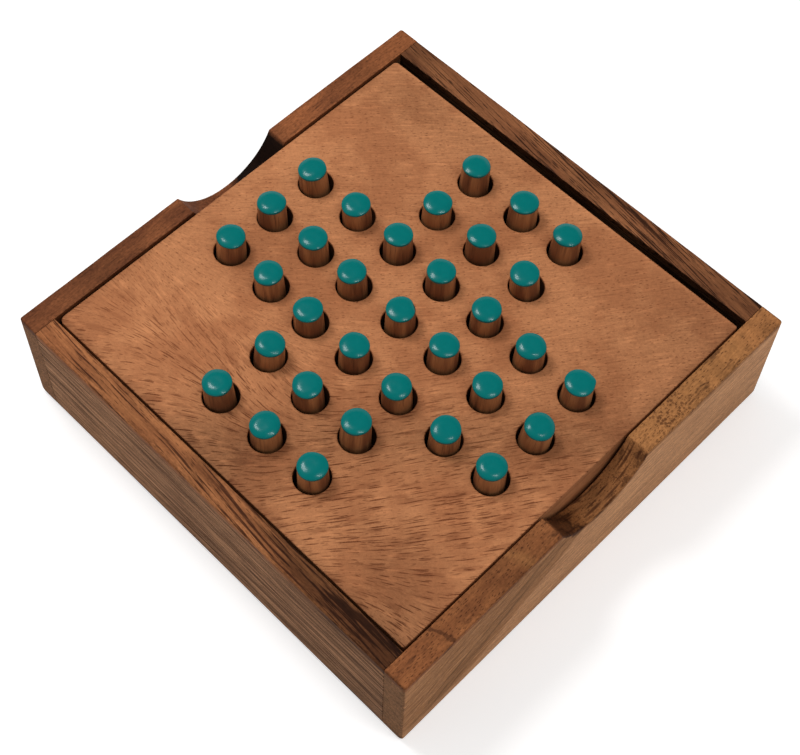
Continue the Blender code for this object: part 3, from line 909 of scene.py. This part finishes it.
boardTop = boardHigh[2]
boardLook = {
    "base": tone(193, 129, 86), "shade": tone(170, 109, 71), "pore": tone(90, 41, 20),
    # charred is the colour down the holes' walls: painted shade in the holes, with the char of drilling
    "smudge": tone(120, 66, 39), "charred": tone(34, 20, 13),
    # tone of single places, partly painted light: lighter towards the left and darker towards the right, as
    # the light falls across the board; (weight, spot, size) and a turn where there is one; -0.3 is 30% darker
    "patches": [(0.12, (-58, 14), (14, 22)), (0.10, (-45, -45), (16, 12)), (-0.14, (55, 40), (26, 40)),
                (-0.10, (54, 8), (9, 14)), (-0.28, (18, -27), (62, 8.0), 45), (-0.18, (-45, 50), (14, 9)),
                (-0.20, (0, -54), (16, 7)), (-0.14, (45, -46), (12, 12)), (-0.28, (56, -56), (14, 11)),
                (0.08, (-28, -30), (14, 12)), (0.08, (0, 0), (30, 30)), (-0.10, (-20, 53), (22, 8)),
                (-0.10, (50, 50), (12, 12)), (-0.06, (30, -46), (12, 9)), (0.03, (-2, 40), (10, 14)),
                (-0.08, (0, -54), (14, 6))],
    # the grain's direction in degrees from +X, and where and how far it turns away from that
    "angle": 45, "right": (-10, 20), "rightTurn": 11, "fan": (-36, 15), "fanEnd": (-12, 12), "fanTurn": 53,
    "corner": ((58, -60), (20, 15)), "cornerTurn": 55, "wobble": (0.09, 0.09, 1, 2, 0.5), "wobbleTurn": 16,
    # two sets of cells, each turned this many degrees from +X: one for most of the board, one for where the
    # grain lies flat, between these two angles
    "turns": (50, 4), "flat": (20, 34),
    # dashes: size of a cell along and across, half a dash's length and width, share of empty cells, strength
    "dashes": [{"every": (8.5, 1.25), "half": (4.6, 0.19), "bare": 0.44, "depth": 0.85, "shift": 3.0},
               {"every": (5.0, 0.95), "half": (2.5, 0.17), "bare": 0.42, "depth": 0.75, "shift": 17.0},
               {"every": (3.2, 0.75), "half": (1.5, 0.15), "bare": 0.42, "depth": 0.60, "shift": 31.0}],
    "smudges": {"every": (10.0, 2.6), "half": (5.2, 0.85), "bare": 0.35, "depth": 0.38, "shift": 47.0},
    "gleams": {"every": (7.0, 1.5), "half": (3.6, 0.42), "bare": 0.35, "depth": 0.14, "shift": 61.0},
    "specks": {"every": (1.7, 0.8), "half": (0.60, 0.15), "bare": 0.40, "depth": 0.55, "shift": 5.0},
    "streams": (0.05, 0.30, 1, 2, 0.5), "fibres": (0.30, 2.4, 1, 4, 0.68),
    "layers": (0.030, 0.045, 0.75, 4, 0.62),
    "clouds": (0.05, 0.05, 0.15, 4, 0.6), "mottle": (1.3, 1.3, 1.3, 4, 0.7), "grit": (3.4, 3.4, 3.4, 2, 0.7),
    "topFade": (0.65, 0.25),  # how far under its top the sides' look ends
    "calm": (2, 32),  # across the board, from calm to strongly dashed
    "frontEdge": (-58.2, -55.6), "leftEdge": (-58.2, -56.0), "rightEdge": (54.8, 57.6), "rightPart": (5, 30),
    "backEdge": (54.9, 56.4),
    "bump": (0.5, 0.05), "gloss": {"Specular IOR Level": 0.06},
}


def grainAngle(p, look, x, y):
    # steeper on the right, but turning flat in the lower left and again in the corner near the camera
    fan = bell(y, *look["fan"]) * (1 - p.step(x, *look["fanEnd"])) * look["fanTurn"]
    corner = p.blob(x, y, *look["corner"]) * look["cornerTurn"]
    wobble = (p.noise((x, y, 0.0), look["wobble"]) - 0.5) * look["wobbleTurn"]
    return look["angle"] + p.step(x, *look["right"]) * look["rightTurn"] - fan - corner + wobble


class Grain:
    # a frame turned against +X, and how the true grain bends away from it at each place
    def __init__(self, p, x, y, degrees, turned, streams):
        c, s = math.cos(math.radians(turned)), math.sin(math.radians(turned))
        self.p, self.along, self.across = p, x * c + y * s, y * c - x * s
        bent = (degrees - turned) * (math.pi / 180)
        self.cosine, self.sine = bent.math("COSINE"), bent.math("SINE")
        self.streams = p.noise((self.along, self.across, 0.0), streams, (turned, 0, 0))

    def fibres(self, look):
        return self.p.noise((self.along, self.across, 7.0), look)

    def dashes(self, look):
        # in each cell, an oval along the true grain round the cell's point
        p = self.p
        a, b = self.along * (1 / look["every"][0]) + look["shift"], self.across * (1 / look["every"][1])
        spot, cell = p.cells("2D", p.join(a, b), ("Position", "Color"))
        spotA, spotB, _ = p.split(spot)
        chance, length, width = p.split(cell)
        da, db = (a - spotA) * look["every"][0], (b - spotB) * look["every"][1]
        u = (da * self.cosine + db * self.sine) / (look["half"][0] * (0.4 + length * 0.7))
        v = (db * self.cosine - da * self.sine) / (look["half"][1] * (0.6 + width * 0.7))
        within = 1 - (u * u + v * v).math("SQRT")
        present = p.step(chance + (self.streams - 0.5) * 1.0, look["bare"], look["bare"] + 0.25)
        return p.step(within, 0.0, 0.55) * present


def boardWood(look):
    p = Paint("board_wood_grain")
    x, y, z = p.place()
    degrees = grainAngle(p, look, x, y)
    steep, flat = (Grain(p, x, y, degrees, turned, look["streams"]) for turned in look["turns"])
    fanned = 1 - p.step(degrees, *look["flat"])

    def blend(draw, layer):
        usual, level = draw(steep, layer), draw(flat, layer)
        return usual + (level - usual) * fanned

    low, high = (boardTop - under for under in look["topFade"])
    top = p.step(z, low, high)  # 0 on the board's sides, which show no dashes
    below = z - boardTop
    layers = p.noise((x, y, below), look["layers"], (0, 0, 11))  # the growth rings, cut by the sides
    fine = blend(Grain.fibres, look["fibres"]) * top + (1 - top) * (layers * 0.8 + 0.1)
    clouds = p.noise((x, y, below), look["clouds"], (0, 0, 3.0))
    mottle = p.noise((x, y, below), look["mottle"])
    grit = p.noise((x, y, below), look["grit"], (0, 0, 5.0))
    calm = p.step(x * 0.45 - y * 0.9, *look["calm"])
    light = 1 + sum(p.blob(x, y, *patch) * weight for weight, *patch in look["patches"])
    light = light + (clouds - 0.5) * 0.26 + (fine - 0.5) * 0.55 + (grit - 0.5) * 0.35
    light = light + (mottle - 0.5) * (0.60 - calm * 0.20)
    light = light + blend(Grain.dashes, look["gleams"]) * look["gleams"]["depth"] * top
    # painted shade along its front and left edges and half of its right one, beside the walls; lighter along
    # its back edge
    light = light - (1 - p.step(y, *look["frontEdge"])) * 0.16 - (1 - p.step(x, *look["leftEdge"])) * 0.05
    light = light - p.step(x, *look["rightEdge"]) * p.step(y, *look["rightPart"]) * 0.14
    light = light + p.step(y, *look["backEdge"]) * 0.12
    colour = p.mix(p.step(clouds, 0.40, 0.60), look["base"], look["shade"])
    smudge = blend(Grain.dashes, look["smudges"]) * look["smudges"]["depth"] * (0.25 + calm * 0.75) * top
    colour = p.mix(smudge, colour, look["smudge"])
    pore = blend(Grain.dashes, look["specks"]) * look["specks"]["depth"] * (1 - calm * 0.4)
    for layer in look["dashes"]:
        pore = pore.math("MAXIMUM", blend(Grain.dashes, layer) * layer["depth"] * (0.26 + calm * 0.74))
    pore = pore * top * (0.72 + p.step(grit, 0.40, 0.58) * 0.33)  # the grit breaks the dashes up
    colour = p.mix(pore, colour, look["pore"])
    colour = p.scale(colour, light * (1 - p.attribute("wear") * 0.10))
    # painted shade down the holes' walls, with the char of drilling
    colour = p.mix(p.step(p.attribute("deep"), 0.01, 0.12) * 0.9, colour, look["charred"])
    rough = 0.56 + fine * 0.08 + pore * 0.2
    height = fine * 0.5 + mottle * 0.4 - pore * 1.2
    return p.finish(colour, rough, height, look["bump"], look["gloss"])


wear(boardObject, boardWood(boardLook))
print("board wood made")


pegLook = {
    "wood": tone(168, 112, 70), "woodDark": tone(124, 76, 47), "line": tone(58, 32, 20),
    "paint": (0.0, 0.171, 0.162),
    "grain": (3.2, 3.2, 0.14, 4, 0.7), "bands": (0.30, 0.30, 0.03, 2, 0.5), "lines": (1.6, 1.6, 0.05, 3, 0.6),
    "coat": (0.7, 0.7, 0.7, 3, 0.5), "specks": (4.5, 4.5, 4.5, 1, 0.5),
    # shares of the peg's length: where its wood gets lighter, out of the painted shade towards its hole, and
    # where the painted shade on the paint's side fades out
    "light": (0.50, 0.90), "skirtShade": (0.930, 0.968),
    "bump": (0.35, 0.05), "coatWeight": 0.16, "gloss": {"Specular IOR Level": 0.15, "Coat Roughness": 0.12},
}


def pegFinish(look):
    p = Paint("peg_wood_and_paint")
    place = p.split(p.attribute("own", True), 1 / mm)
    up, mask = p.attribute("up"), p.step(p.attribute("paint"), 0.4, 0.6)
    grain, bands, lines = (p.noise(place, look[key]) for key in ("grain", "bands", "lines"))
    coat, specks = (p.noise(place, look[key]) for key in ("coat", "specks"))
    wood = p.mix(p.step(bands, 0.38, 0.62), look["wood"], look["woodDark"])
    wood = p.mix(p.step(lines, 0.56, 0.70) * 0.48, wood, look["line"])
    # painted shade: the wood darkens down the peg towards its hole
    wood = p.scale(wood, (1 + (grain - 0.5) * 1.0) * (0.74 + p.step(up, *look["light"]) * 0.26))
    skirtShade = 1 - p.step(up, *look["skirtShade"])  # painted shade: the paint's side, below its rounded top, is darker towards its edge
    colour = p.mix(mask, wood, p.scale(look["paint"], 0.94 + coat * 0.12 - skirtShade * 0.45))
    dull = 0.58 + grain * 0.1
    rough = dull + mask * (0.20 + coat * 0.08 - dull)
    height = grain * (1 - mask) * 0.8 + coat * mask * 0.07 + p.step(specks, 0.68, 0.80) * mask * 0.16
    gloss = {**look["gloss"], "Coat Weight": mask * look["coatWeight"]}
    return p.finish(colour, rough, height, look["bump"], gloss)


pegMaterial = pegFinish(pegLook)
for piece in pegs.values():
    wear(piece, pegMaterial)
print("materials:", len(bpy.data.materials))


# Floor, light and camera

studio = {
    "floorSize": 6.0, "floorColour": (0.80, 0.80, 0.80), "floorGlow": 0.45,
    "skyLight": 0.60,  # what the surroundings give to matt surfaces
    "ceiling": 0.03,  # how bright the ceiling looks in gloss; the walls of the studio are white
    "ceilingFrom": (0.20, 0.60),
    "aim": (0, 0, 0.034),  # where the lamps point
    # where each lamp stands, the way its long side lies, its size in metres and its power in watts
    "lamps": [
        {"name": "left_softbox", "shape": "ELLIPSE", "at": (-0.525, -0.088, 1.065), "long": (0, 1, 0),
         "size": (0.36, 0.36), "watts": 5.2},
        {"name": "overhead_strip", "shape": "RECTANGLE", "at": (0.466, 0.071, 1.093), "long": (0.71, 0.70, 0),
         "size": (0.36, 0.08), "watts": 1.9},
    ],
}
camera = {"at": (0.1427548, -0.1550872, 0.3800913), "turn": (32.0519, -1.0593, 44.7500),
          "lens": 75.452, "sensor": 36.0, "shift": (0.0039359, -0.0958070), "sees": (0.01, 50)}


def floorPaper():
    p = Paint("floor_paper")
    seen = p.make("ShaderNodeLightPath", out="Is Camera Ray")
    body = p.make("ShaderNodeBsdfDiffuse", None, {"Color": studio["floorColour"]})
    glow = p.make("ShaderNodeEmission", None, {"Color": (1, 1, 1), "Strength": seen * studio["floorGlow"]})
    both = p.make("ShaderNodeAddShader", None, {0: body, 1: glow})
    p.make("ShaderNodeOutputMaterial", None, {"Surface": both})
    half = studio["floorSize"] / 2
    mesh = bpy.data.meshes.new("floor")
    mesh.from_pydata([(a * half, b * half, 0) for a, b in corners], [], [(0, 1, 2, 3)])
    floor = placed("floor", mesh)
    mesh.materials.append(p.material)


def sky():
    # white to the camera, an even light to matt surfaces, and in gloss a dark ceiling over white walls
    world = bpy.data.worlds.new("studio")
    bpy.context.scene.world = world
    w = Paint("studio", world)
    _, _, up = w.split(w.make("ShaderNodeTexCoord", out="Generated"))
    gloss = 1 - w.step(up, *studio["ceilingFrom"]) * (1 - studio["ceiling"])
    isCamera = w.make("ShaderNodeLightPath", out="Is Camera Ray")
    isGloss = w.make("ShaderNodeLightPath", out="Is Glossy Ray")
    isGloss = isGloss.math("MAXIMUM", w.make("ShaderNodeLightPath", out="Is Transmission Ray"))
    strength = studio["skyLight"] + isGloss * (gloss - studio["skyLight"])
    strength = strength + isCamera * (1 - strength)
    background = w.make("ShaderNodeBackground", None, {"Strength": strength})
    w.make("ShaderNodeOutputWorld", None, {"Surface": background})


def lamp(look):
    light = bpy.data.lights.new(look["name"], "AREA")
    light.shape, light.energy = look["shape"], look["watts"]
    light.size, light.size_y = look["size"]
    holder = placed(look["name"], light)
    spot = Vector(look["at"])
    back = (spot - Vector(studio["aim"])).normalized()  # a lamp shines along its own -Z
    side = Vector(look["long"])
    side = (side - back * side.dot(back)).normalized()
    holder.location = spot
    holder.rotation_euler = Matrix((side, back.cross(side), back)).transposed().to_euler()


def cameraObject():
    lens = bpy.data.cameras.new("camera")
    lens.lens, lens.sensor_width, lens.sensor_fit = camera["lens"], camera["sensor"], "HORIZONTAL"
    lens.shift_x, lens.shift_y = camera["shift"]
    lens.clip_start, lens.clip_end = camera["sees"]
    holder = placed("camera", lens)
    holder.location = camera["at"]
    holder.rotation_euler = [math.radians(a) for a in camera["turn"]]
    bpy.context.scene.camera = holder


floorPaper()
sky()
for look in studio["lamps"]:
    lamp(look)
cameraObject()
bpy.context.scene.view_settings.view_transform = "Standard"
print("studio ready")
